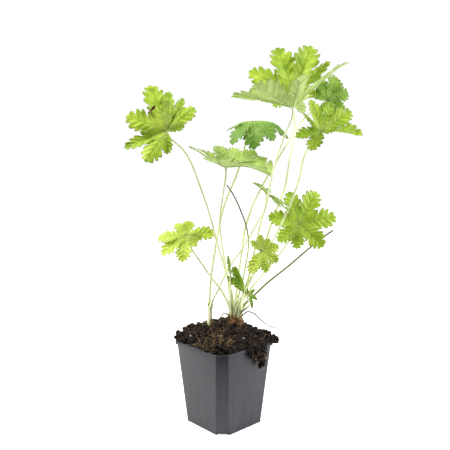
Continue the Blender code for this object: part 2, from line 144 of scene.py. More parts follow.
# Each leaf: centre in mm, the compass and height angles that its upper face looks to, the
# length over which its lobes bend, its tint, and its lobes. A lobe is its direction in the
# blade, its length in mm, how steeply it leaves the centre, how far it bends down by its
# tip, and its width against a usual lobe.
LEAVES = {
    "leaf_01": ((-63, -20, 338), (-75, 20), 48, "fresh", (
        (-164, 50, -15, 10, 0.6), (-125, 43, 5, 20, 1.1), (-92, 26, 0, 15, 1.0), (17, 21, 5, 10, 0.9),
        (41, 46, 5, 20, 0.85), (62, 60, -12, 12, 0.32), (82, 50, 5, 20, 0.65), (104, 60, 8, 25, 0.95),
        (156, 47, 5, 25, 1.2))),
    "leaf_02": ((83, 40, 384), (-86, 18), 55, "fresh", (
        (-150, 30, 5, 20, 1.0), (-66, 26, 5, 20, 1.0), (5, 28, 0, 20, 0.9), (40, 57, 20, 10, 0.4),
        (69, 68, 8, 15, 0.95), (106, 64, 8, 15, 1.0), (153, 60, 8, 10, 1.0))),
    "leaf_03": ((72, -45, 361), (100, 75), 60, "pale", (
        (-150, 36, 36, 10, 1.1), (-105, 46, 32, 10, 1.2), (-60, 50, 29, 12, 1.1), (-12, 66, 25, 20, 0.8),
        (32, 58, 12, 4, 1.1), (88, 46, 24, 0, 0.95), (150, 73, 40, 12, 0.6))),
    "leaf_04": ((126, 60, 379), (-72, 24), 45, "shaded", (
        (-125, 20, 0, 10, 1.0), (-70, 24, 0, 15, 1.0), (-22, 26, 0, 20, 1.0), (22, 36, 5, 20, 1.1),
        (58, 41, 5, 15, 1.15), (104, 35, 5, 10, 1.2), (152, 32, 0, 10, 1.1))),
    "leaf_05": ((110, 0, 338), (-85, 40), 42, "fresh", (
        (-168, 31, 10, 30, 1.0), (-121, 31, 5, 20, 1.2), (-42, 27, 50, 0, 1.2), (2, 50, 6, 20, 0.7),
        (36, 48, 10, 10, 0.85), (66, 38, 18, 0, 0.85), (104, 40, 18, 0, 0.85), (146, 30, 30, 0, 0.4))),
    "leaf_06": ((35, 15, 351), (-90, 70), 36, "deep", (
        (176, 36, 2, 48, 1.1), (135, 36, -8, 65, 1.0), (90, 40, -15, 85, 1.1), (45, 34, -5, 60, 1.0),
        (2, 48, 6, 50, 1.1), (-44, 36, 0, 60, 1.2), (-92, 42, 2, 72, 1.5), (-138, 42, 0, 52, 1.2))),
    "leaf_07": ((2, 0, 298), (90, 85), 44, "pale", (
        (-156, 42, 34, 10, 1.2), (176, 57, 13, 42, 1.4), (134, 38, 14, 10, 1.1), (92, 36, 14, 10, 1.1),
        (50, 36, 16, 10, 1.1), (8, 48, 28, 0, 0.45), (-30, 42, 32, 0, 1.35), (-76, 44, 40, 0, 1.1),
        (-112, 42, 38, 0, 1.0))),
    "leaf_08": ((50, -10, 268), (24, 53), 30, "pale", (
        (90, 24, 5, 10, 0.9), (40, 15, 10, 10, 0.9), (-18, 18, 10, 10, 0.9), (-62, 30, 5, 10, 0.9),
        (-92, 38, 5, 10, 0.8), (-126, 26, 5, 10, 0.9), (140, 15, 10, 10, 0.9))),
    "leaf_09": ((89, 20, 231), (-90, 25), 38, "sunny", (
        (-142, 33, 0, 15, 1.15), (-98, 30, 0, 25, 1.15), (-43, 39, 0, 15, 1.15), (13, 46, 5, 15, 1.05),
        (62, 48, 5, 10, 1.0), (106, 41, 10, 5, 1.05), (164, 38, 5, 15, 1.1))),
    "leaf_10": ((40, -40, 208), (-85, 20), 24, "bright", (
        (-118, 27, 0, 10, 1.1), (-76, 24, 0, 10, 1.0), (-32, 22, 0, 10, 1.1), (14, 21, 5, 10, 1.15),
        (52, 17, 5, 10, 1.0), (90, 18, 10, 0, 1.0), (134, 16, 10, 0, 1.0))),
    "leaf_11": ((-44, 10, 219), (-95, 38), 32, "bright", (
        (-175, 35, 5, 20, 1.0), (-142, 37, 0, 20, 1.05), (-95, 33, 0, 25, 1.25), (-47, 19, 0, 20, 1.1),
        (-13, 19, 0, 10, 1.0), (10, 34, 5, 25, 1.15), (84, 22, 0, 30, 1.4), (130, 23, 0, 20, 1.1))),
    "leaf_12": ((24, -12, 156), (-150, 10), 20, "shaded", (
        (100, 33, 22, -10, 1.1), (58, 27, 30, -10, 0.9), (140, 28, 34, 0, 0.8), (20, 12, 40, 0, 0.8))),
    "leaf_13": ((28, -14, 153), (-60, 40), 16, "shaded", (
        (-70, 17, -20, 30, 0.55), (-20, 14, 0, 40, 0.6), (30, 12, 20, 40, 0.6), (90, 8, 20, 20, 0.6),
        (150, 10, 20, 20, 0.6))),
    "leaf_14": ((7, -13, 177), (-90, 10), 14, "pale", (
        (97, 22, 5, 0, 0.4), (62, 10, 20, 0, 0.45))),
}

# Each leaf stalk: its leaf, its radius at the foot in mm, and points along it in mm from the
# foot up, as in the frame. A foot's height comes from the rootstock it stands on.
STALKS = {
    "stalk_01": ("leaf_01", 1.1, ((12.4, 10.6, 0), (9, 4, 151), (1, 1, 181), (-9, -4, 215),
        (-13, -6, 232), (-27, -12, 277), (-44, -17, 316))),
    "stalk_02": ("leaf_02", 1.2, ((15.6, 17, 0), (18, 18, 175), (22, 22, 204), (25, 24, 225),
        (31, 27, 244), (52, 33, 287), (68, 38, 313), (84, 44, 345))),
    "stalk_03": ("leaf_03", 1.1, ((20.9, 6.4, 0), (29, -2, 174), (37, -11, 215), (40, -15, 231),
        (47, -22, 259), (54, -31, 298), (65, -40, 334))),
    "stalk_04": ("leaf_04", 1.2, ((19.6, 12, 0), (32, 22, 163), (49, 33, 206), (60, 39, 237),
        (73, 44, 270), (81, 50, 313), (87, 54, 339), (98, 58, 357))),
    "stalk_05": ("leaf_05", 1.1, ((23.1, 12, 0), (42, 8, 187), (60, 5, 220), (74, 3, 251), (85, 2, 282),
        (94, 2, 317))),
    "stalk_06": ("leaf_06", 1.2, ((-18.0, 7.4, 0), (-17.4, 7.2, 137), (-15.5, 9, 167), (-10, 12, 205),
        (0, 15, 253), (17, 17, 296), (25, 17, 325))),
    "stalk_07": ("leaf_07", 1.1, ((9.0, 12, 0), (3.5, 12, 171), (-2, 9, 205), (-5, 6, 231),
        (-1, 2, 269))),
    "stalk_08": ("leaf_08", 0.9, ((-15.0, 4.6, 0), (-15.4, 5.4, 136), (-6, 1, 158), (6, -3, 184),
        (17, -6, 200), (37, -10, 235), (47, -12, 256))),
    "stalk_09": ("leaf_09", 1.1, ((20.0, 17.2, 0), (35, 23, 156), (47, 25, 170), (66, 25, 194),
        (78, 24, 211))),
    "stalk_10": ("leaf_10", 0.9, ((18.2, 5.0, 0), (24, -9, 160), (33, -24, 182))),
    "stalk_11": ("leaf_11", 1.1, ((9.6, 15.6, 0), (-3, 17, 151), (-15, 17, 167), (-27, 15, 185),
        (-39, 13, 204))),
    "stalk_12": ("leaf_12", 0.8, ((15.3, 4.4, 0), (15, -5, 145))),
    "stalk_13": ("leaf_13", 0.8, ((23.0, 8.6, 0), (28.5, -3, 138), (30, -13, 145))),
    "stalk_14": ("leaf_14", 0.8, ((10.4, 7.4, 0), (8, -5, 150))),
}
BARE_STALKS = {
    "bare_stalk_right": (1.1, ((23.4, 15.6, 0), (43, 23, 151), (79, 29, 180), (109, 33, 205),
        (122, 34, 215), (132, 34, 222))),
    "bare_stalk_dark": (0.8, ((15.8, 8.2, 0), (23, -5, 176), (27.5, -12, 216), (25, -15, 232),
        (19, -17, 249), (9, -18, 270), (3, -18, 279))),
}
ROOTS = {
    "root_right": (1.0, ((19.0, 11, 118), (24, 9, 125.5), (29, 7.5, 128), (35, 6, 126.5), (44, 4, 118.5),
        (53, 3, 112.5), (61, 3, 109.5))),
    "root_left": (0.9, ((7.0, 10, 119), (4, 9, 124.5), (0, 8, 126), (-3.5, 7.5, 122), (-5.5, 7, 113))),
}
# Lumps that lean over the rim: place and radius in mm
OVERHANG = (((57.5, -2, 99), 4.6), ((60, 1, 97.5), 3.6), ((54, -7, 99.5), 4.2), ((52, 3, 102), 5.0),
            ((61, -3, 95), 2.6), ((58, -6, 96), 3.0), ((50, -9, 102), 4.6), ((46, 0, 105), 4.6),
            ((-53, 2, 103), 5.0), ((-56, 0, 100), 4.0), ((-50, -5, 103), 4.6), ((-45, 4, 107), 5.4),
            ((-47, -12, 101), 3.4), ((48, -14, 99), 4.2), ((43, -19, 99), 4.2), ((-38, 8, 109), 5.0),
            ((-12, -50, 98.5), 3.0), ((-4, -53, 98), 2.8), ((-20, -42, 99), 3.2), ((53, -10, 97), 3.6))
# Middle of the dried shred beside the first leaf
SHRED_AT = Vector((-79.0, -22.0, 361.0)) * MM
# Lumps of the hanging clod: mm along the wall, down from the rim, out of it, and radius
CLOD_LUMPS = ((-10, 1, 1.5, 4.6), (-3, 0, 2.0, 5.2), (5, 0, 2.0, 5.4), (11, 2, 1.5, 4.6), (-8, 7, 2.2, 4.2),
              (-1, 7, 2.8, 5.0), (6, 8, 3.0, 5.0), (10, 9, 2.2, 3.8), (1, 13, 2.6, 4.2), (6, 15, 3.0, 4.2),
              (8, 20, 2.6, 3.8), (5, 22, 2.2, 3.0), (-5, 12, 2.0, 3.0))
# Stalks: radius at the blade and step along the path in mm, and how much fuller they are
# drawn than in the CAD frame
STALK_TIP_RADIUS = 0.75
STALK_STEP = 2.4
STALK_FULLNESS = 1.36
STALK_SIDES = 12
ROOTLETS = 7


def hex_colour(code):
    """An sRGB hex colour as linear red, green, blue and alpha."""
    channels = [int(code[place:place + 2], 16) / 255.0 for place in (1, 3, 5)]
    linear = [c / 12.92 if c <= 0.04045 else ((c + 0.055) / 1.055) ** 2.4 for c in channels]
    return (*linear, 1.0)


def add_node(tree, kind, inputs=None, give=0, stops=None, **settings):
    """Add a shader node and return one of its outputs.

    An input is a value, a hex colour or another node's output; stops fill a colour ramp. Inputs
    0 to 4 of Map Range are the value, the range it comes from and the range it goes to; inputs
    0, 6 and 7 of Mix are the share and its two colours, and output 2 is the mixed colour.
    """
    new = tree.nodes.new("ShaderNode" + kind)
    for name, value in settings.items():
        setattr(new, name, value)
    for socket, value in (inputs or {}).items():
        if isinstance(value, bpy.types.NodeSocket):
            tree.links.new(value, new.inputs[socket])
        else:
            new.inputs[socket].default_value = hex_colour(value) if isinstance(value, str) else value
    if stops:
        ramp = new.color_ramp
        while len(ramp.elements) > 1:
            ramp.elements.remove(ramp.elements[-1])
        ramp.elements[0].position = stops[0][0]
        ramp.elements[0].color = hex_colour(stops[0][1])
        for place, colour in stops[1:]:
            ramp.elements.new(place).color = hex_colour(colour)
    return new.outputs[give] if new.outputs else None


def new_material(name):
    """An empty material and its node tree."""
    material = bpy.data.materials.new(name)
    material.use_nodes = True
    material.node_tree.nodes.clear()
    return material, material.node_tree


def leaf_material(name, vein, light, mid, dark, tips="#a8b07c", under=False):
    """Living geranium leaf: a soft, slightly waxy skin over green tissue that lets light through.

    The upper face is satin with sunk pale veins; the underside is paler, matt and its veins
    stand out. Edges and tooth tips are browner where the tissue thins out.
    """
    material, tree = new_material(name)
    where = add_node(tree, "TexCoord", give="Object")
    chart = add_node(tree, "UVMap", give="UV", uv_map="blade")
    along, across = (add_node(tree, "SeparateXYZ", {0: chart}, axis) for axis in (0, 1))
    # side veins: one for each tooth, thinning towards the edge
    phase = add_node(tree, "Math", {0: along, 1: 10.0}, operation="MULTIPLY")
    saw = add_node(tree, "Math", {0: phase, 1: 0.5}, operation="PINGPONG")
    side = add_node(tree, "MapRange", {0: saw, 1: 0.36, 2: 0.49, 3: 0.0, 4: 0.75},
                    interpolation_type="SMOOTHSTEP")
    offset = add_node(tree, "Math", {0: across, 1: 0.5}, operation="SUBTRACT")
    away = add_node(tree, "Math", {0: offset}, operation="ABSOLUTE")
    mid_rib = add_node(tree, "MapRange", {0: away, 1: 0.0, 2: 0.075, 3: 1.0, 4: 0.0},
                       interpolation_type="SMOOTHSTEP")
    fade = add_node(tree, "MapRange", {0: away, 1: 0.15, 2: 0.46, 3: 1.0, 4: 0.1})
    side = add_node(tree, "Math", {0: side, 1: fade}, operation="MULTIPLY")
    ribs = add_node(tree, "Math", {0: mid_rib, 1: side}, operation="MAXIMUM")
    # fine net of veins, cells about 1.6 mm across
    net = add_node(tree, "TexVoronoi", {"Vector": where, "Scale": 620.0}, "Distance",
                   feature="DISTANCE_TO_EDGE")
    mesh = add_node(tree, "MapRange", {0: net, 1: 0.0, 2: 0.16, 3: 0.4, 4: 0.0})
    # blotches about 12 mm across
    blotch = add_node(tree, "TexNoise", {"Vector": where, "Scale": 85.0, "Detail": 3.0})
    tissue = add_node(tree, "ValToRGB", {0: blotch}, stops=((0.34, dark), (0.5, mid), (0.68, light)))
    netted = add_node(tree, "Mix", {0: mesh, 6: tissue, 7: vein}, 2, data_type="RGBA")
    rib_share = add_node(tree, "Math", {0: ribs, 1: 0.8 if under else 0.7}, operation="MULTIPLY")
    ribbed = add_node(tree, "Mix", {0: rib_share, 6: netted, 7: vein}, 2, data_type="RGBA")
    # worn edges, and the hub where the lobes meet: darker above, partly its own darker vein star and partly
    # painted shade where the stalk joins, and pale below
    edge = add_node(tree, "Attribute", give="Fac", attribute_name="edge")
    worn = add_node(tree, "MapRange", {0: edge, 1: 0.40, 2: 1.0, 3: 0.0, 4: 0.72})
    edged = add_node(tree, "Mix", {0: worn, 6: ribbed, 7: tips}, 2, data_type="RGBA")
    hub = add_node(tree, "Attribute", give="Fac", attribute_name="hub")
    dim = add_node(tree, "Math", {0: hub, 1: 0.1 if under else 0.45}, operation="MULTIPLY")
    colour = add_node(tree, "Mix", {0: dim, 6: edged, 7: "#c8d49c" if under else "#56692a"}, 2,
                      data_type="RGBA")
    height = add_node(tree, "Math", {0: ribs, 1: mesh}, operation="ADD")
    relief = add_node(tree, "Bump", {"Strength": 0.55, "Distance": 0.3 * MM, "Height": height},
                      invert=not under)
    skin = add_node(tree, "BsdfPrincipled", {
        "Base Color": colour, "Roughness": 0.62 if under else 0.46, "Specular IOR Level": 0.35,
        "Normal": relief})
    # light that comes through the blade is yellower than the skin
    glow_colour = add_node(tree, "Mix", {0: 0.55, 6: colour, 7: "#b4d232"}, 2, data_type="RGBA")
    glow = add_node(tree, "BsdfTranslucent", {"Color": glow_colour, "Normal": relief})
    blended = add_node(tree, "MixShader", {0: 0.38, 1: skin, 2: glow})
    add_node(tree, "OutputMaterial", {"Surface": blended})
    return material


def stalk_material(name, young, old, streak, dry=None, drying=(0.0, 1.0)):
    """Leaf stalk skin: juicy pale green with fine lengthwise ribs, satin and a little translucent.

    A stalk that has lost its leaf turns to the dry colour between two heights in metres.
    """
    material, tree = new_material(name)
    where = add_node(tree, "TexCoord", give="Object")
    # ribs run up the stalk, about 0.6 mm apart round it and 12 mm long
    stretched = add_node(tree, "Mapping", {"Vector": where, "Scale": (1600.0, 1600.0, 85.0)})
    ribs = add_node(tree, "TexNoise", {"Vector": stretched, "Scale": 1.0, "Detail": 2.0})
    patches = add_node(tree, "TexNoise", {"Vector": where, "Scale": 40.0, "Detail": 3.0})
    base = add_node(tree, "ValToRGB", {0: patches}, stops=((0.35, old), (0.62, young)))
    rib_share = add_node(tree, "MapRange", {0: ribs, 1: 0.45, 2: 0.75, 3: 0.0, 4: 0.5})
    colour = add_node(tree, "Mix", {0: rib_share, 6: base, 7: streak}, 2, data_type="RGBA")
    if dry:
        height = add_node(tree, "SeparateXYZ", {0: where}, "Z")
        dried = add_node(tree, "MapRange", {0: height, 1: drying[0], 2: drying[1], 3: 0.0, 4: 1.0},
                         interpolation_type="SMOOTHSTEP")
        colour = add_node(tree, "Mix", {0: dried, 6: colour, 7: dry}, 2, data_type="RGBA")
    relief = add_node(tree, "Bump", {"Strength": 0.3, "Distance": 0.2 * MM, "Height": ribs})
    skin = add_node(tree, "BsdfPrincipled", {
        "Base Color": colour, "Roughness": 0.42, "Subsurface Weight": 0.25, "Subsurface Scale": 1.0,
        "Subsurface Radius": (1.2 * MM, 1.6 * MM, 0.5 * MM), "Normal": relief})
    add_node(tree, "OutputMaterial", {"Surface": skin})
    return material


def bark_material(name, light, mid, dark):
    """Rootstock skin: dry reddish-brown fibres that run down, matt and split."""
    material, tree = new_material(name)
    where = add_node(tree, "TexCoord", give="Object")
    # fibres about 1 mm apart and 6 mm long
    stretched = add_node(tree, "Mapping", {"Vector": where, "Scale": (900.0, 900.0, 160.0)})
    fibres = add_node(tree, "TexNoise", {"Vector": stretched, "Scale": 1.0, "Detail": 4.0,
                                         "Distortion": 0.6})
    colour = add_node(tree, "ValToRGB", {0: fibres}, stops=((0.34, dark), (0.5, mid), (0.66, light)))
    relief = add_node(tree, "Bump", {"Strength": 0.8, "Distance": 0.5 * MM, "Height": fibres})
    skin = add_node(tree, "BsdfPrincipled", {"Base Color": colour, "Roughness": 0.82, "Normal": relief})
    add_node(tree, "OutputMaterial", {"Surface": skin})
    return material


def peat_material():
    """Moist peat: nearly black crumbs with reddish-brown and tan fibres, matt with a damp glint."""
    material, tree = new_material("moist_peat")
    where = add_node(tree, "TexCoord", give="Object")
    # crumbs about 2.4 mm across
    crumbs = add_node(tree, "TexNoise", {"Vector": where, "Scale": 420.0, "Detail": 5.0,
                                         "Roughness": 0.7})
    colour = add_node(tree, "ValToRGB", {0: crumbs}, stops=(
        (0.40, "#030202"), (0.5, "#0e0905"), (0.60, "#2a1c13"), (0.70, "#644b37")))
    damp = add_node(tree, "MapRange", {0: crumbs, 1: 0.35, 2: 0.65, 3: 0.6, 4: 0.95})
    relief = add_node(tree, "Bump", {"Strength": 1.0, "Distance": 0.8 * MM, "Height": crumbs})
    soil = add_node(tree, "BsdfPrincipled", {
        "Base Color": colour, "Roughness": damp, "Specular IOR Level": 0.18, "Normal": relief})
    add_node(tree, "OutputMaterial", {"Surface": soil})
    return material


def dry_material(name, light, dark, roughness):
    """A dry, matt plant fibre, papery sheath or mineral grain, whose colour drifts every 6 mm."""
    material, tree = new_material(name)
    where = add_node(tree, "TexCoord", give="Object")
    drift = add_node(tree, "TexNoise", {"Vector": where, "Scale": 160.0, "Detail": 3.0})
    colour = add_node(tree, "ValToRGB", {0: drift}, stops=((0.38, dark), (0.62, light)))
    skin = add_node(tree, "BsdfPrincipled", {"Base Color": colour, "Roughness": roughness})
    add_node(tree, "OutputMaterial", {"Surface": skin})
    return material


def pot_material():
    """Thermoformed polypropylene: dark grey, satin, with faint streaks of painted vertical sheen, scuffs
    and soil dust.
    """
    material, tree = new_material("thermoformed_polypropylene")
    where = add_node(tree, "TexCoord", give="Object")
    # painted vertical sheen in streaks about 7 mm wide and 70 mm tall, dust in 17 mm clouds, and a grain of
    # about 1 mm
    stretched = add_node(tree, "Mapping", {"Vector": where, "Scale": (150.0, 150.0, 14.0)})
    sheen_streaks = add_node(tree, "TexNoise", {"Vector": stretched, "Scale": 1.0, "Detail": 4.0})
    dust = add_node(tree, "TexNoise", {"Vector": where, "Scale": 60.0, "Detail": 6.0})
    grain = add_node(tree, "TexNoise", {"Vector": where, "Scale": 900.0, "Detail": 2.0})
    # the lighter streaks in the base colour are painted sheen
    base = add_node(tree, "ValToRGB", {0: sheen_streaks}, stops=((0.3, "#2b2b32"), (0.7, "#34343c")))
    dusty = add_node(tree, "MapRange", {0: dust, 1: 0.55, 2: 0.75, 3: 0.0, 4: 0.22})
    colour = add_node(tree, "Mix", {0: dusty, 6: base, 7: "#55524f"}, 2, data_type="RGBA")
    rough = add_node(tree, "MapRange", {0: dust, 1: 0.3, 2: 0.7, 3: 0.34, 4: 0.46})
    relief = add_node(tree, "Bump", {"Strength": 0.12, "Distance": 0.15 * MM, "Height": grain})
    plastic = add_node(tree, "BsdfPrincipled", {
        "Base Color": colour, "Roughness": rough, "Specular IOR Level": 0.30, "Normal": relief})
    add_node(tree, "OutputMaterial", {"Surface": plastic})
    return material


def place_in_scene(name, data):
    """Put a mesh, a lamp or a camera into the scene."""
    thing = bpy.data.objects.new(name, data)
    bpy.context.scene.collection.objects.link(thing)
    return thing


def mesh_from(name, bm, materials):
    """A mesh with its materials, made from a finished bmesh."""
    mesh = bpy.data.meshes.new(name)
    bm.to_mesh(mesh)
    bm.free()
    for material in materials:
        mesh.materials.append(material)
    return mesh


def add_piece(name, bm, materials, replaced, closed=True):
    """Add a finished mesh as a piece of the plant that rides on the one body."""
    if closed:
        bmesh.ops.recalc_face_normals(bm, faces=bm.faces[:])
    mesh = mesh_from(name, bm, materials)
    mesh.shade_smooth()
    piece = place_in_scene(name, mesh)
    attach(piece, BODY)
    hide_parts(*replaced)
    return piece


def facing_axes(facing):
    """A matrix whose columns are a blade's right, up and facing directions."""
    compass = math.radians(facing[0])
    lift = math.radians(facing[1])
    level = math.cos(lift)
    normal = Vector((level * math.cos(compass), level * math.sin(compass), math.sin(lift)))
    right = Vector((0, 0, 1)).cross(normal).normalized()
    return Matrix((right, normal.cross(right), normal)).transposed()


class Blade:
    """The shape of one leaf: where a flat spot of the blade lies once its lobes lift and bend."""

    def __init__(self, name):
        centre, facing, bend_length, _, lobes = LEAVES[name]
        self.centre = Vector(centre) * MM
        self.axes = facing_axes(facing)
        self.bend_length = bend_length * MM
        self.lobes = sorted((math.radians(a), length * MM, math.radians(lift), math.radians(bend), width)
                            for a, length, lift, bend, width in lobes)
        self.mean = sum(lobe[1] for lobe in self.lobes) / len(self.lobes)
        self.seed = int(name[-2:])

    def neighbour(self, index, side):
        """The next lobe on one side, and the angle to it."""
        other = self.lobes[(index + side) % len(self.lobes)]
        return other, (side * (other[0] - self.lobes[index][0])) % math.tau

    def place(self, index, x, y, swell=0.0):
        """World point of a spot given along and across one lobe's midrib."""
        angle, _, lift, bend, _ = self.lobes[index]
        reach = math.hypot(x, y)
        turn = math.atan2(y, x)
        other, gap = self.neighbour(index, 1 if y >= 0 else -1)
        share = min(abs(turn) / gap, 0.5)
        ease = share * share * (3 - 2 * share)
        lift += (other[2] - lift) * ease
        bend += (other[3] - bend) * ease
        slope = lift - bend * reach / self.bend_length
        if abs(bend) < 1e-4:
            out = reach * math.cos(lift)
            rise = reach * math.sin(lift)
        else:
            out = self.bend_length / bend * (math.sin(lift) - math.sin(slope))
            rise = self.bend_length / bend * (math.cos(slope) - math.cos(lift))
        near = min(1.0, reach / (0.35 * self.mean))
        rise += FOLD * abs(y) * near
        whole = angle + turn
        spot = Vector((math.cos(whole), math.sin(whole), 0.0)) * reach
        ripple = noise.noise(spot / (15 * MM) + Vector((0, 0, self.seed * 3.7)))
        rise += 2.2 * MM * ripple * near * reach / self.mean
        flat = Vector((out * math.cos(whole), out * math.sin(whole), rise + swell))
        return self.centre + self.axes @ flat


def tooth_depth(share, jitter):
    """How far the edge is cut in towards the midrib, for a share of the way from sinus to tip.

    Teeth are unevenly spaced; each is a rounded bump between two notches.
    """
    phase = min(share + 0.018 * math.sin(math.tau * (2 * share + jitter)), 1.0) * TEETH
    phase = max(phase, 0.0)
    tooth = int(phase)
    within = phase - tooth
    bump = max(0.0, 1 - (2 * within - 1) ** 2) ** 0.7
    notch = NOTCHES[tooth] * (1 - within) + NOTCHES[tooth + 1] * within
    return notch * (0.85 + 0.3 * jitter) * (1 - bump), bump


def lobe_grid(bm, blade, index, chart, edge_mark, hub_mark, rng):
    """One lobe as a grid: rows leave the midrib obliquely and end on the toothed edge."""
    _, length, _, _, width = blade.lobes[index]
    sides = {}
    for side in (1, -1):
        other, gap = blade.neighbour(index, side)
        is_open = gap > OPEN_GAP
        # an open side starts close to the centre, 34 degrees from the midrib
        spread = math.radians(34.0) if is_open else gap / 2
        sinus = 0.12 * length if is_open else SINUS_SHARE * min(length, other[1])
        sides[side] = (spread, sinus, rng.random())
    half = LOBE_HALF_WIDTH * length * width
    grid = bmesh.ops.create_grid(bm, x_segments=BLADE_ROWS, y_segments=BLADE_COLUMNS, size=1.0)
    marks = {}
    for vert in grid["verts"]:
        row = (vert.co.x + 1) / 2
        side = 1 if vert.co.y >= 0 else -1
        column = abs(vert.co.y)
        spread, sinus, jitter = sides[side]
        # rows stand closer together near the centre
        rib = Vector((length * row * (0.56 + 0.44 * row), 0.0))
        share = (row - BASE_SHARE) / (1 - BASE_SHARE)
        start = Vector((sinus * math.cos(spread), sinus * math.sin(spread)))
        bump = 0.0
        if share <= 0:
            edge = start * row / BASE_SHARE
        else:
            # the edge leaves the sinus, is widest past the middle and closes on the tip
            rest = 1 - share
            edge = (start * rest ** 3 + Vector((0.50 * length, half * 1.30)) * 3 * rest * rest * share
                    + Vector((1.0 * length, half * 1.16)) * 3 * rest * share * share
                    + Vector((length, 0.0)) * share ** 3)
            depth, bump = tooth_depth(share, jitter)
            edge = rib + (edge - rib) * (1 - depth)
        point = rib + (edge - rib) * column
        point.y *= side
        # beyond the sinus the lobe is free to twist and ripple
        free = max(0.0, min(1.0, share / 0.35))
        swell = TWIST * point.y * free * free * (3 - 2 * free)
        swell += 0.4 * MM * math.sin(math.pi * column) * math.cos(math.tau * share * TEETH) * free
        vert.co = blade.place(index, point.x, point.y, swell)
        marks[vert] = (0.4 + share * TEETH / 10, 0.5 + 0.5 * column * side)
        vert[edge_mark] = column ** 6 * free * (0.3 + 0.7 * bump)
        vert[hub_mark] = math.exp(-((point.length / (0.09 * length)) ** 2))
    for vert in grid["verts"]:
        for loop in vert.link_loops:
            loop[chart].uv = marks[vert]


def build_leaf(name, skins):
    """One leaf: lobes merged along their shared lines, given a thickness and a paler underside."""
    blade = Blade(name)
    rng = random.Random(blade.seed)
    bm = bmesh.new()
    chart = bm.loops.layers.uv.new("blade")
    edge_mark = bm.verts.layers.float.new("edge")
    hub_mark = bm.verts.layers.float.new("hub")
    for index in range(len(blade.lobes)):
        lobe_grid(bm, blade, index, chart, edge_mark, hub_mark, rng)
    bmesh.ops.remove_doubles(bm, verts=bm.verts[:], dist=0.03 * MM)
    bmesh.ops.dissolve_degenerate(bm, edges=bm.edges[:], dist=0.005 * MM)
    bmesh.ops.recalc_face_normals(bm, faces=bm.faces[:])
    facing = sum((face.normal * face.calc_area() for face in bm.faces), Vector())
    if facing.dot(blade.axes.col[2]) < 0:
        bmesh.ops.reverse_faces(bm, faces=bm.faces[:])
    piece = add_piece("blade_" + name[-2:], bm, skins, (name,), closed=False)
    skin = piece.modifiers.new("thickness", "SOLIDIFY")
    skin.thickness = BLADE_THICKNESS
    skin.offset = -1.0
    skin.material_offset = 1
    build_ribs(blade, name, skins[1])


def build_ribs(blade, name, skin):
    """Raised midribs under the blade, one for each lobe, thinning out before the tip."""
    bm = bmesh.new()
    bm.loops.layers.uv.new("blade")
    below = blade.axes.col[2] * (BLADE_THICKNESS + 0.1 * MM)
    for index, lobe in enumerate(blade.lobes):
        reach = RIB_REACH * lobe[1]
        path = [blade.place(index, reach * step / 12, 0.0) - below for step in range(1, 13)]
        draw_tube(bm, path, lambda share: (0.66 * (1 - share) + 0.12) * MM, 6)
    add_piece("ribs_" + name[-2:], bm, [skin], (name,))


def smooth_path(points, steps):
    """Points on a smooth curve through the given ones."""
    headings = []
    for index, point in enumerate(points):
        before = point - points[max(index - 1, 0)]
        after = points[min(index + 1, len(points) - 1)] - point
        heading = before.normalized() * after.length + after.normalized() * before.length
        headings.append((heading if heading.length else before + after).normalized())
    path = []
    for index in range(len(points) - 1):
        start, end = points[index], points[index + 1]
        span = (end - start).length
        for step in range(steps):
            t = step / steps
            path.append(start * (2 * t ** 3 - 3 * t ** 2 + 1) + end * (3 * t ** 2 - 2 * t ** 3)
                        + headings[index] * span * (t ** 3 - 2 * t ** 2 + t)
                        + headings[index + 1] * span * (t ** 3 - t ** 2))
    path.append(points[-1])
    return path


def even_path(path, spacing):
    """A path resampled at even steps."""
    steps = [0.0]
    for before, after in zip(path, path[1:]):
        steps.append(steps[-1] + (after - before).length)
    count = max(4, round(steps[-1] / spacing))
    even = []
    place = 0
    for number in range(count + 1):
        goal = steps[-1] * number / count
        while place < len(steps) - 2 and steps[place + 1] < goal:
            place += 1
        share = (goal - steps[place]) / max(steps[place + 1] - steps[place], 1e-9)
        even.append(path[place].lerp(path[place + 1], min(share, 1.0)))
    return even


def grow_ring(bm, ring):
    """Extrude a ring of edges: the new ring, and the new vertex that each old one leads to."""
    grown = bmesh.ops.extrude_edge_only(bm, edges=ring)["geom"]
    fresh = {item for item in grown if isinstance(item, bmesh.types.BMVert)}
    ring = [item for item in grown
            if isinstance(item, bmesh.types.BMEdge) and all(vert in fresh for vert in item.verts)]
    above = {edge.other_vert(vert): vert for vert in fresh for edge in vert.link_edges
             if edge.other_vert(vert) not in fresh}
    return ring, above


def draw_tube(bm, path, radius_at, sides):
    """A closed tube along a path, its radius given for each share of the way."""
    heading = (path[1] - path[0]).normalized()
    across = heading.cross(Vector((0.3, 1.0, 0.1))).normalized()
    ring_verts = bmesh.ops.create_circle(bm, cap_ends=True, segments=sides, radius=1.0)["verts"]
    ring = list({edge for vert in ring_verts for edge in vert.link_edges})
    for index, middle in enumerate(path):
        before = path[max(index - 1, 0)]
        after = path[min(index + 1, len(path) - 1)]
        heading = (after - before).normalized()
        across = (across - heading * across.dot(heading)).normalized()
        other = heading.cross(across)
        radius = radius_at(index / (len(path) - 1))
        if index:
            ring, above = grow_ring(bm, ring)
            ring_verts = [above[vert] for vert in ring_verts]
        for number, vert in enumerate(ring_verts):
            turn = math.tau * number / sides
            vert.co = middle + (across * math.cos(turn) + other * math.sin(turn)) * radius
    bmesh.ops.contextual_create(bm, geom=ring)


def draw_fibre(bm, path, thick, thinning=0.5, sides=4):
    """A strand along a path; its radius in mm, and the share of it that is gone at the tip."""
    draw_tube(bm, path, lambda share: (thick - thinning * thick * share) * MM, sides)


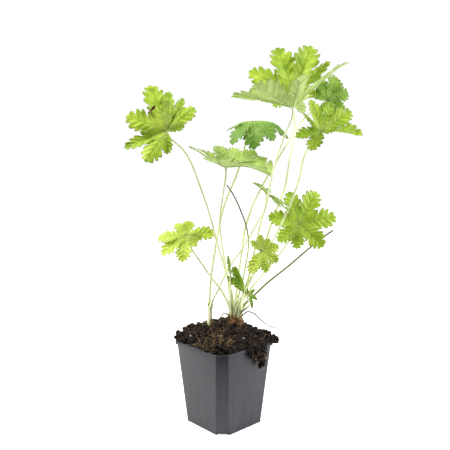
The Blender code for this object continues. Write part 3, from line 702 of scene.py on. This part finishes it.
def foot_point(points):
    """Where a stalk's foot stands, a little inside its rootstock."""
    start = Vector((*points[0][:2], 0.0)) * MM
    if points[0][0] < 0:
        return Vector((*SHOOT_AT.xy.lerp(start.xy, 0.6), SHOOT_TOP - FOOT_DEPTH))
    return Vector((*(CROWN_AT.xy + (start.xy - CROWN_SPREAD.xy) * FEET_TOGETHER), CROWN_TOP - FOOT_DEPTH))


def stalk_route(points, blade=None):
    """A stalk's path, evenly stepped from its foot to its blade."""
    foot = foot_point(points)
    route = [foot, foot + Vector((0, 0, FOOT_DEPTH)), *(Vector(point) * MM for point in points[1:])]
    if blade:
        normal = blade.axes.col[2]
        route += [blade.centre - normal * 5.0 * MM, blade.centre - normal * 0.1 * MM]
    return even_path(smooth_path(route, 12), STALK_STEP * MM)


def build_stalk(name, points, radius, skin, blade=None, seed=0):
    """A leaf stalk: a thick foot, a long slightly uneven run and a small swelling at the blade."""
    path = stalk_route(points, blade)
    length = len(path) * STALK_STEP
    tip = STALK_TIP_RADIUS if blade else 0.7 * radius

    def radius_at(share):
        # the foot's swelling dies out over 19 mm and the collar at the blade over 2.5 mm
        taper = radius + (tip - radius) * share
        foot = 1.05 * radius * math.exp(-((share * length / 19.0) ** 2))
        collar = 0.35 * radius * math.exp(-(((1 - share) * length / 2.5) ** 2)) if blade else 0.0
        uneven = 0.07 * radius * noise.noise(Vector((share * 14.0, seed, 0.0)))
        return (STALK_FULLNESS * taper + foot + collar + uneven) * MM

    bm = bmesh.new()
    draw_tube(bm, path, radius_at, STALK_SIDES)
    add_piece(name + "_skin", bm, [skin], (name,))


def build_root(name, points, radius, skin, seed):
    """A bare root: uneven, kinked, with a few short side rootlets."""
    rng = random.Random(seed)
    route = smooth_path([Vector(point) * MM for point in points], 10)
    path = even_path(route, 1.2 * MM)
    path = [spot + 0.5 * MM * Vector((noise.noise(spot / (4 * MM)), 0.0, noise.noise(spot / (3 * MM))))
            for spot in path]

    def radius_at(share):
        uneven = 0.15 * noise.noise(Vector((share * 20, seed, 0)))
        return radius * MM * (0.95 - 0.4 * share + uneven)

    bm = bmesh.new()
    draw_tube(bm, path, radius_at, 8)
    for _ in range(ROOTLETS):
        start = path[rng.randrange(2, len(path) - 2)]
        draw_tube(bm, wander(start, rng, 5.0, 0.35), lambda share: (0.16 - 0.09 * share) * MM, 4)
    add_piece(name + "_skin", bm, [skin], (name,))


def wander(start, rng, length, lift=0.0, heading=None):
    """Points of a short curly fibre from a start point; length in mm."""
    heading = heading or Vector((rng.uniform(-1, 1), rng.uniform(-1, 1), rng.uniform(-0.2, 0.4) + lift))
    heading = heading.normalized()
    path = [start.copy()]
    for _ in range(FIBRE_STEPS):
        drift = Vector((rng.gauss(0, 1), rng.gauss(0, 1), rng.gauss(0, 1) - 0.15))
        heading = (heading + 0.38 * drift).normalized()
        path.append(path[-1] + heading * length * MM / FIBRE_STEPS)
    return path


def build_rootstock(name, foot, top, foot_radius, top_radius, skin, stubs, seed):
    """A rootstock: a ridged fibrous stump with rounded shoulders and short broken rootlets."""
    rng = random.Random(seed)
    bm = bmesh.new()
    low = Vector((foot.x, foot.y, foot.z - 4.0 * MM))
    path = [low.lerp(Vector((foot.x, foot.y, top)), step / 16) for step in range(17)]

    def radius_at(share):
        shoulder = math.sqrt(max(0.0, 1 - max(0.0, (share - 0.75) / 0.25) ** 2 * 0.75))
        return (foot_radius + (top_radius - foot_radius) * share) * shoulder * MM

    draw_tube(bm, path, radius_at, 40)
    for vert in bm.verts:
        out = Vector((vert.co.x - foot.x, vert.co.y - foot.y, 0.0))
        turn = math.atan2(out.y, out.x)
        ridge = noise.noise(Vector((math.cos(turn) * 5.5, math.sin(turn) * 5.5, vert.co.z / (9 * MM))))
        knob = noise.noise(vert.co / (4.5 * MM))
        vert.co += out * (0.20 * ridge + 0.16 * knob) + Vector((0, 0, 1.0 * MM * knob))
    for _ in range(stubs):
        turn = rng.uniform(0, math.tau)
        side = Vector((math.cos(turn), math.sin(turn), 0.0))
        reach = foot_radius * rng.uniform(0.75, 1.0) * MM
        start = Vector((foot.x, foot.y, foot.z + rng.uniform(0.0, 8.0) * MM)) + side * reach
        heading = side * 0.8 + Vector((0, 0, rng.uniform(-0.9, 0.1)))
        thick = rng.uniform(0.14, 0.4)
        draw_fibre(bm, wander(start, rng, rng.uniform(5, 13), heading=heading), thick, 0.6, 5)
    add_piece(name + "_bark", bm, [skin], (name,))


def build_shoot_stem(skin):
    """The side shoot's juicy stem, swollen where its two stalks part, with a sheath point each side."""
    bm = bmesh.new()
    low = Vector((*SHOOT_AT.xy, SHOOT_TOP - 4.0 * MM))
    fork = Vector(SHOOT_FORK) * MM

    def radius_at(share):
        swelling = 0.7 * math.exp(-(((share - 0.93) / 0.10) ** 2))
        closing = 1.9 * max(0.0, share - 0.9) / 0.1
        return (2.9 - 0.7 * share + swelling - closing) * MM

    draw_tube(bm, [low.lerp(fork, step / 20) for step in range(21)], radius_at, 20)
    for start, tip in SHOOT_POINTS:
        start, tip = (fork + Vector(place) * MM for place in (start, tip))
        draw_tube(bm, [start.lerp(tip, step / 8) for step in range(9)],
                  lambda share: (0.9 * math.sqrt(1.02 - share)) * MM, 8)
    add_piece("shoot_stem", bm, [skin], ("stalk_06", "stalk_08"))


def build_sheaths(name, node, feet, middle, skin, seed):
    """Papery brown sheaths, two beside each stalk foot, torn to points."""
    rng = random.Random(seed)
    bm = bmesh.new()
    for foot in feet:
        for _ in range(2):
            grid = bmesh.ops.create_grid(bm, x_segments=7, y_segments=4, size=1.0)
            away = foot - middle
            turn = math.atan2(away.y, away.x) + rng.uniform(-1.1, 1.1)
            tall = rng.uniform(5.0, 11.0) * MM
            wide = rng.uniform(1.2, 2.2) * MM
            lean = rng.uniform(0.0, 0.28)
            for vert in grid["verts"]:
                up = (vert.co.x + 1) / 2
                tear = 1 - 0.25 * abs(noise.noise(Vector((up * 9, turn, 0))))
                side = vert.co.y * (1 - up ** 2.2) * tear
                bow = turn + side * 0.75
                crease = 0.3 * MM * noise.noise(Vector((up * 4, side * 3, turn)))
                reach = 1.9 * MM + lean * up * tall + crease
                spot = Vector((math.cos(bow) * reach, math.sin(bow) * reach, up * tall - 2.5 * MM))
                spot += Vector((-math.sin(turn), math.cos(turn), 0)) * side * wide * 0.5
                vert.co = foot + spot
    bmesh.ops.solidify(bm, geom=bm.faces[:], thickness=0.15 * MM)
    add_piece(name, bm, [skin], (node,))


def build_dried_shred(skin):
    """A small dried, curled shred at the left of the first leaf's top lobe."""
    bm = bmesh.new()
    grid = bmesh.ops.create_grid(bm, x_segments=12, y_segments=8, size=1.0)
    for vert in grid["verts"]:
        along, across = vert.co.x, vert.co.y * (1 - 0.5 * vert.co.x ** 2)
        curl = 1.4 * along
        bow = 2.0 * across * across + 1.5 * math.cos(2 * curl)
        spot = Vector((4.2 * math.sin(curl) * 0.7 + 2.4 * across, bow, 3.8 * along + 0.8 * across))
        crumple = noise.noise(Vector((along * 2.2, across * 2.2, 4.0)))
        vert.co = SHRED_AT + (spot + Vector((0.9, 1.2, 0.7)) * crumple) * MM
    bmesh.ops.solidify(bm, geom=bm.faces[:], thickness=0.2 * MM)
    add_piece("dried_shred", bm, [skin], ("leaf_01",))


def in_pot_frame(spot):
    """A world point seen along the pot's own sides."""
    return Matrix.Rotation(-POT_YAW, 2) @ Vector((spot.x, spot.y))


def how_far_out(spot):
    """Share of the way from the pot's middle to its inner wall."""
    half = POT_WALL_TOP_HALF - POT_WALL
    local = in_pot_frame(spot)
    across = abs(local.x), abs(local.y)
    return max(*across, (across[0] + across[1]) / (2 - POT_CHAMFER / half)) / half


def heap_height(spot):
    """Height of the soil's top at a world point."""
    spot = Vector((spot.x, spot.y, 0.0))
    inward = min(how_far_out(spot), 1.0)
    away = (spot - HEAP_AT).length
    # the heap is lower on the right and at the front, and rises round the crown
    lean = -3.0 * MM * math.tanh(spot.x / (30 * MM)) - 2.0 * MM * max(0.0, -spot.y / (50 * MM))
    heap = (SOIL_MOUND + lean) * (1 - inward ** 9) + 5.5 * MM * math.exp(-((away / (24 * MM)) ** 2))
    # clods of 12 and 5 mm, then crumbs of 2.3 and 1.1 mm
    lumps = 3.0 * MM * noise.noise(spot / (12 * MM)) + 2.2 * MM * noise.noise(spot / (5.0 * MM))
    lumps += 1.3 * MM * abs(noise.noise(spot / (2.3 * MM))) + 0.6 * MM * noise.noise(spot / (1.1 * MM))
    return SOIL_EDGE + heap + lumps


def lean_out(spot):
    """How far the soil leans out over the wall near a spot on its edge: most on the right and left."""
    right = max(0.0, min(1.0, (spot.x - 20 * MM) / (30 * MM)))
    left = max(0.0, min(1.0, (-42 * MM - spot.x) / (10 * MM)))
    return (-0.2 + 5.8 * right + 4.8 * left + 1.4 * noise.noise(spot / (6 * MM))) * MM


def build_soil(peat):
    """The heap of peat: a fine grid over the pot's mouth, drawn down inside the wall."""
    bm = bmesh.new()
    grid = bmesh.ops.create_grid(bm, x_segments=SOIL_CELLS, y_segments=SOIL_CELLS, size=1.0)
    turn = Matrix.Rotation(POT_YAW, 2)
    half = POT_WALL_TOP_HALF - POT_WALL - 0.4 * MM
    cut = 2.0 - POT_CHAMFER / half
    inner = {}
    for vert in grid["verts"]:
        x, y = vert.co.x, vert.co.y
        squeeze = min(1.0, cut / max(abs(x) + abs(y), 1e-6))
        world = turn @ Vector((x * squeeze, y * squeeze)) * half
        spot = Vector((world.x, world.y, 0.0))
        inner[vert] = spot
        edge_share = max(0.0, min(how_far_out(spot), 1.0) - 0.9) / 0.1
        height = heap_height(spot)
        if edge_share:
            height = max(height, POT_HEIGHT + 0.4 * MM)
            spot = spot + spot.normalized() * lean_out(spot) * edge_share
            height -= 2.5 * MM * max(0.0, how_far_out(spot) - 1.09) / 0.05
        vert.co = (spot.x, spot.y, height)
    rim = [edge for edge in bm.edges if edge.is_boundary]
    for shrink, height in ((0.995, POT_HEIGHT - 0.5 * MM), (0.815, SOIL_FOOT)):
        rim, below = grow_ring(bm, rim)
        for upper, lower in below.items():
            inner[lower] = inner[upper] * shrink
            lower.co = (inner[lower].x, inner[lower].y, height)
    bmesh.ops.holes_fill(bm, edges=rim, sides=0)
    add_piece("peat_heap", bm, [peat], ("potting_soil",))


def add_crumb(bm, centre, radius, rng, detail=2):
    """One irregular crumb of peat."""
    turn = Matrix.Rotation(rng.uniform(0, math.tau), 4, Vector((rng.random(), rng.random(), 1)))
    made = bmesh.ops.create_icosphere(bm, subdivisions=detail, radius=radius,
                                      matrix=Matrix.Translation(centre) @ turn)
    squash = Vector((rng.uniform(0.75, 1.25), rng.uniform(0.75, 1.25), rng.uniform(0.6, 1.0)))
    for vert in made["verts"]:
        out = vert.co - centre
        bump = 1 + 0.45 * noise.noise(vert.co / (0.9 * radius))
        bump += 0.25 * noise.noise(vert.co / (0.4 * radius))
        vert.co = centre + out * squash * bump


def random_spot(rng, reach=0.97):
    """A random world spot inside the pot's mouth."""
    half = POT_WALL_TOP_HALF - POT_WALL
    while True:
        spot = Matrix.Rotation(POT_YAW, 2) @ Vector((rng.uniform(-half, half), rng.uniform(-half, half)))
        if how_far_out(spot) < reach:
            return Vector((spot.x, spot.y, 0.0))


def build_crumbs(peat, rng):
    """Crumbs that lie on the heap, and the lumps that lean over the rim."""
    bm = bmesh.new()
    for _ in range(CRUMBS):
        spot = random_spot(rng)
        size = (0.5 + 2.7 * rng.random() ** 3) * MM
        spot.z = heap_height(spot) + 0.25 * size
        add_crumb(bm, spot, size, rng, 1 if size < 1.0 * MM else 2)
    for place, size in OVERHANG:
        add_crumb(bm, Vector(place) * MM, size * MM, rng, 3)
    add_piece("peat_crumbs", bm, [peat], ("potting_soil",))


def build_fibres(fibre, rng):
    """Fibres that lie all over the heap, and a tuft of them by the front corner."""
    bm = bmesh.new()
    for _ in range(FIBRES):
        spot = random_spot(rng)
        spot.z = heap_height(spot) + 0.2 * MM
        thick = rng.uniform(0.10, 0.28)
        draw_fibre(bm, wander(spot, rng, rng.uniform(4, 15)), thick)
    for _ in range(TUFT_FIBRES):
        spot = Vector((rng.gauss(-14, 9), rng.gauss(-40, 4), 0.0)) * MM
        if how_far_out(spot) > 0.98:
            spot *= 0.98 / how_far_out(spot)
        spot.z = heap_height(spot)
        thick = rng.uniform(0.12, 0.30)
        heading = Vector((rng.uniform(-1, 1), rng.uniform(-0.4, 0.5), rng.uniform(0.0, 0.6)))
        draw_fibre(bm, wander(spot, rng, rng.uniform(6, 16), heading=heading), thick)
    add_piece("peat_fibres", bm, [fibre], ("potting_soil",))


def build_perlite(perlite, rng):
    """A few white grains on the heap; the first is the largest."""
    bm = bmesh.new()
    for number, (x, y) in enumerate(PERLITE):
        spot = Vector((x, y, 0)) * MM
        spot.z = heap_height(spot) + 0.6 * MM
        add_crumb(bm, spot, (rng.uniform(0.5, 1.0) if number else 1.5) * MM, rng)
    add_piece("perlite_grains", bm, [perlite], ("potting_soil",))


def build_clod(peat, fibre):
    """Peat and roots that hang over the rim on the front right wall."""
    rng = random.Random(CLOD_SEED)
    down = Vector((0, 0, -1))
    bm = bmesh.new()
    for along, drop, out, size in CLOD_LUMPS:
        centre = CLOD_AT + (CLOD_ALONG * along + CLOD_OUT * out + down * drop) * MM
        add_crumb(bm, centre, size * MM, rng, 3)
        for _ in range(CLOD_BITS):
            off = Vector((rng.gauss(0, 1), rng.gauss(0, 1), rng.gauss(0, 1)))
            off = off.normalized() * size * 0.95 * MM
            off -= CLOD_OUT * min(0.0, off.dot(CLOD_OUT))
            add_crumb(bm, centre + off, rng.uniform(0.7, 1.7) * MM, rng, 2)
    add_piece("clod_peat", bm, [peat], ("hanging_clod",))
    bm = bmesh.new()
    for _ in range(CLOD_FIBRES):
        along, drop, out, size = rng.choice(CLOD_LUMPS)
        start = CLOD_AT + (CLOD_ALONG * (along + rng.gauss(0, 2)) + CLOD_OUT * (out + size * 0.8)) * MM
        start += down * (drop + rng.gauss(0, 2)) * MM
        heading = CLOD_OUT * 0.25 + CLOD_ALONG * rng.uniform(-0.8, 0.8) + down * rng.uniform(0.1, 1.0)
        thick = rng.uniform(0.10, 0.26)
        draw_fibre(bm, wander(start, rng, rng.uniform(4, 11), heading=heading), thick)
    add_piece("clod_fibres", bm, [fibre], ("hanging_clod",))


def pot_ring(half, chamfer, height, notch):
    """The sixteen corners of the pot at one height; notch is how deep each cut corner is let in."""
    corners = []
    along = Vector((-1, 1)).normalized() * NOTCH_WIDTH / 2
    inward = Vector((-1, -1)).normalized() * notch
    middle = Vector((half - chamfer / 2, half - chamfer / 2))
    for quarter in range(4):
        turn = Matrix.Rotation(POT_YAW + quarter * math.pi / 2, 2)
        for point in (Vector((half, half - chamfer)), middle - along + inward, middle + along + inward,
                      Vector((half - chamfer, half))):
            corners.append((*(turn @ point), height))
    return corners


def build_pot(plastic):
    """The square pot: thin tapered walls with cut corners, a rim band, notched feet and drain holes."""
    above_notch = POT_FOOT_HALF + 0.2 * MM
    levels = (
        (POT_FOOT_HALF, POT_FOOT_CHAMFER, 0.0, NOTCH_DEPTH),
        (above_notch, POT_FOOT_CHAMFER, NOTCH_HEIGHT, NOTCH_DEPTH),
        (above_notch, POT_FOOT_CHAMFER, NOTCH_HEIGHT, 0.0),
        (POT_WALL_TOP_HALF, POT_CHAMFER, POT_WALL_TOP, 0.0),
        (POT_RIM_HALF, POT_CHAMFER, POT_WALL_TOP, 0.0),
        (POT_RIM_HALF, POT_CHAMFER, POT_HEIGHT, 0.0),
        (POT_WALL_TOP_HALF - POT_WALL, POT_CHAMFER, POT_HEIGHT, 0.0),
        (POT_FOOT_HALF - POT_WALL, POT_FOOT_CHAMFER, POT_FLOOR, 0.0),
    )
    # the levels whose upright edges are rounded: wall, rim band and inside; and the rim's two lips
    round_uprights = (3, 5, 7)
    round_lips = (5, 6)
    bm = bmesh.new()
    ring_verts = bmesh.ops.create_circle(bm, segments=16, radius=1.0)["verts"]
    ring = list({edge for vert in ring_verts for edge in vert.link_edges})
    base = ring[:]
    soft = []
    for number, level in enumerate(levels):
        if number:
            ring, above = grow_ring(bm, ring)
            if number in round_uprights:
                soft += [bm.edges.get((vert, above[vert])) for place, vert in enumerate(ring_verts)
                         if place % 4 in (0, 3)]
            ring_verts = [above[vert] for vert in ring_verts]
        for vert, spot in zip(ring_verts, pot_ring(*level)):
            vert.co = spot
        if number in round_lips:
            soft += ring
    bmesh.ops.contextual_create(bm, geom=ring)
    holes = []
    for quarter in range(4):
        turn = POT_YAW + quarter * math.pi / 2
        hole = bmesh.ops.create_circle(bm, segments=24, radius=DRAIN_RADIUS, matrix=Matrix.Translation(
            (DRAIN_RING * math.cos(turn), DRAIN_RING * math.sin(turn), 0.0)))["verts"]
        holes += list({edge for vert in hole for edge in vert.link_edges})
    bmesh.ops.triangle_fill(bm, edges=base + holes, use_beauty=True)
    for vert in grow_ring(bm, holes)[1].values():
        vert.co.z = 0.9 * POT_FLOOR
    bmesh.ops.bevel(bm, geom=soft, offset=0.7 * MM, offset_type="OFFSET", segments=3, profile=0.5,
                    affect="EDGES", material=-1)
    bmesh.ops.remove_doubles(bm, verts=bm.verts[:], dist=0.01 * MM)
    bmesh.ops.dissolve_degenerate(bm, edges=bm.edges[:], dist=0.005 * MM)
    piece = add_piece("pot_shell", bm, [plastic], ("nursery_pot",))
    piece.data.set_sharp_from_angle(angle=math.radians(32))


def build_floor():
    """A plain white light table that the plant stands on."""
    material, tree = new_material("studio_floor")
    sheet = add_node(tree, "BsdfPrincipled", {
        "Base Color": "#f8f8f8", "Roughness": 0.9, "Emission Color": "#ffffff",
        "Emission Strength": 0.42})
    add_node(tree, "OutputMaterial", {"Surface": sheet})
    bm = bmesh.new()
    bmesh.ops.create_grid(bm, x_segments=1, y_segments=1, size=FLOOR_HALF,
                          matrix=Matrix.Translation((0.0, FLOOR_HALF - FLOOR_FRONT, 0.0)))
    floor = place_in_scene("studio_floor", mesh_from("studio_floor", bm, [material]))


def add_lamp(name, place, size, watts, colour):
    """A square soft lamp that points at the middle of the plant."""
    lamp = bpy.data.lights.new(name, "AREA")
    lamp.shape = "SQUARE"
    lamp.size = size
    lamp.energy = watts
    lamp.color = hex_colour(colour)[:3]
    stand = place_in_scene(name, lamp)
    stand.location = place
    stand.rotation_euler = (LAMP_AIM - Vector(place)).to_track_quat("-Z", "Y").to_euler()


def build_studio():
    """Camera at the photograph's angle, a white surround and two broad soft lamps."""
    camera = bpy.data.cameras.new("camera")
    camera.lens = CAMERA_LENS
    camera.sensor_width = CAMERA_SENSOR
    camera.sensor_fit = "HORIZONTAL"
    stand = place_in_scene("camera", camera)
    stand.location = CAMERA_AT
    stand.rotation_euler = (math.pi / 2 - CAMERA_DIP, 0.0, 0.0)
    bpy.context.scene.camera = stand
    world = bpy.data.worlds.new("white_surround")
    world.use_nodes = True
    tree = world.node_tree
    # the studio is white all round but for the dim room behind the camera
    heading = add_node(tree, "TexCoord", give="Generated")
    ahead = add_node(tree, "VectorMath", {0: heading, 1: DIM_ROOM}, "Value",
                     operation="DOT_PRODUCT")
    dim = add_node(tree, "MapRange", {0: ahead, 1: 0.10, 2: 0.75, 3: 0.0, 4: 1.0},
                   interpolation_type="SMOOTHSTEP")
    shade = add_node(tree, "Mix", {0: dim, 6: (1.0, 1.0, 1.0, 1.0), 7: (0.05, 0.05, 0.055, 1.0)}, 2,
                     data_type="RGBA")
    tree.links.new(shade, tree.nodes["Background"].inputs["Color"])
    tree.nodes["Background"].inputs["Strength"].default_value = 1.02
    bpy.context.scene.world = world
    bpy.context.scene.view_settings.view_transform = "Standard"
    add_lamp("key_lamp", (-1.1, -0.4, 1.4), 0.9, 40.0, "#fffaf2")
    add_lamp("fill_lamp", (1.3, -0.3, 0.9), 1.0, 24.0, "#ffffff")


def build_foliage(stalk_skin):
    """Every leaf and stalk, and the dried shred."""
    leaf_under = leaf_material("leaf_underside", "#f6f8dc", "#d2e48c", "#c0d674", "#a8c05c", under=True)
    skins = {tint: [leaf_material("leaf_" + tint, *colours), leaf_under]
             for tint, colours in LEAF_TINTS.items()}
    for name, leaf in LEAVES.items():
        build_leaf(name, skins[leaf[3]])
    for number, (name, (leaf, radius, points)) in enumerate(STALKS.items()):
        build_stalk(name, points, radius, stalk_skin, Blade(leaf), number)
    # spent stalks: the same skin, dulled to olive and dry brown from the top down
    spent_skins = {
        "bare_stalk_right": stalk_material("olive_stalk_skin", "#c4cc92", "#a8b274", "#868c52", "#7e7c54",
                                           (0.118, 0.150)),
        "bare_stalk_dark": stalk_material("spent_stalk_skin", "#d0da9c", "#b6c47c", "#8e9c58", "#5e6248",
                                          (0.205, 0.240)),
    }
    for number, (name, (radius, points)) in enumerate(BARE_STALKS.items()):
        build_stalk(name, points, radius, spent_skins[name], None, BARE_STALK_SEED + number)
    # dead leaf tissue: brittle, brown and matt
    build_dried_shred(dry_material("dried_leaf", "#7a4a2c", "#42261a", 0.8))


def build_roots_and_crown(stalk_skin):
    """The rootstocks with their sheaths, the side shoot's stem and the two bare roots."""
    # root skin: corky, olive brown, with a slight sheen
    root_skin = dry_material("root_skin", "#8e8a5e", "#585234", 0.7)
    for number, (name, (radius, points)) in enumerate(ROOTS.items()):
        build_root(name, points, radius, root_skin, ROOT_SEED + number)
    bark = bark_material("rootstock_bark", "#b8946a", "#7c5438", "#382014")
    green_bark = bark_material("young_rootstock_skin", "#c0c890", "#98a468", "#74683c")
    build_rootstock("crown", CROWN_AT, CROWN_TOP - 1.0 * MM, 9.0, 6.2, bark, 80, 5)
    build_rootstock("side_shoot", SHOOT_AT, SHOOT_TOP, 4.2, 2.6, green_bark, 14, 6)
    build_shoot_stem(stalk_skin)
    # sheath: papery dead leaf base, light brown and matt
    sheath = dry_material("papery_sheath", "#b09468", "#6e4c30", 0.75)
    routes = [entry[-1] for entry in (*STALKS.values(), *BARE_STALKS.values())]
    crown_feet = [foot_point(points) for points in routes if points[0][0] > 0]
    shoot_feet = [foot_point(points) for points in routes if points[0][0] < 0]
    build_sheaths("crown_sheaths", "crown", crown_feet, CROWN_AT, sheath, 7)
    build_sheaths("shoot_sheaths", "side_shoot", shoot_feet, SHOOT_AT, sheath, 8)


def build_pot_and_soil():
    """The pot, its peat and what lies on the peat."""
    peat = peat_material()
    # peat fibre: dry moss and root strands, tan and matt
    fibre = dry_material("peat_fibre", "#957a50", "#402a18", 0.85)
    # perlite: puffed volcanic glass, chalk white and matt
    perlite = dry_material("perlite_grain", "#f2f0ea", "#d0ccc2", 0.9)
    build_soil(peat)
    rng = random.Random(LITTER_SEED)
    build_crumbs(peat, rng)
    build_fibres(fibre, rng)
    build_perlite(perlite, rng)
    build_clod(peat, fibre)
    build_pot(pot_material())


def main():
    """Build the studio, then the plant from its leaves down."""
    build_studio()
    build_floor()
    stalk_skin = stalk_material("stalk_skin", "#f0f4d0", "#dae2b0", "#b2c086")
    build_foliage(stalk_skin)
    build_roots_and_crown(stalk_skin)
    build_pot_and_soil()


main()
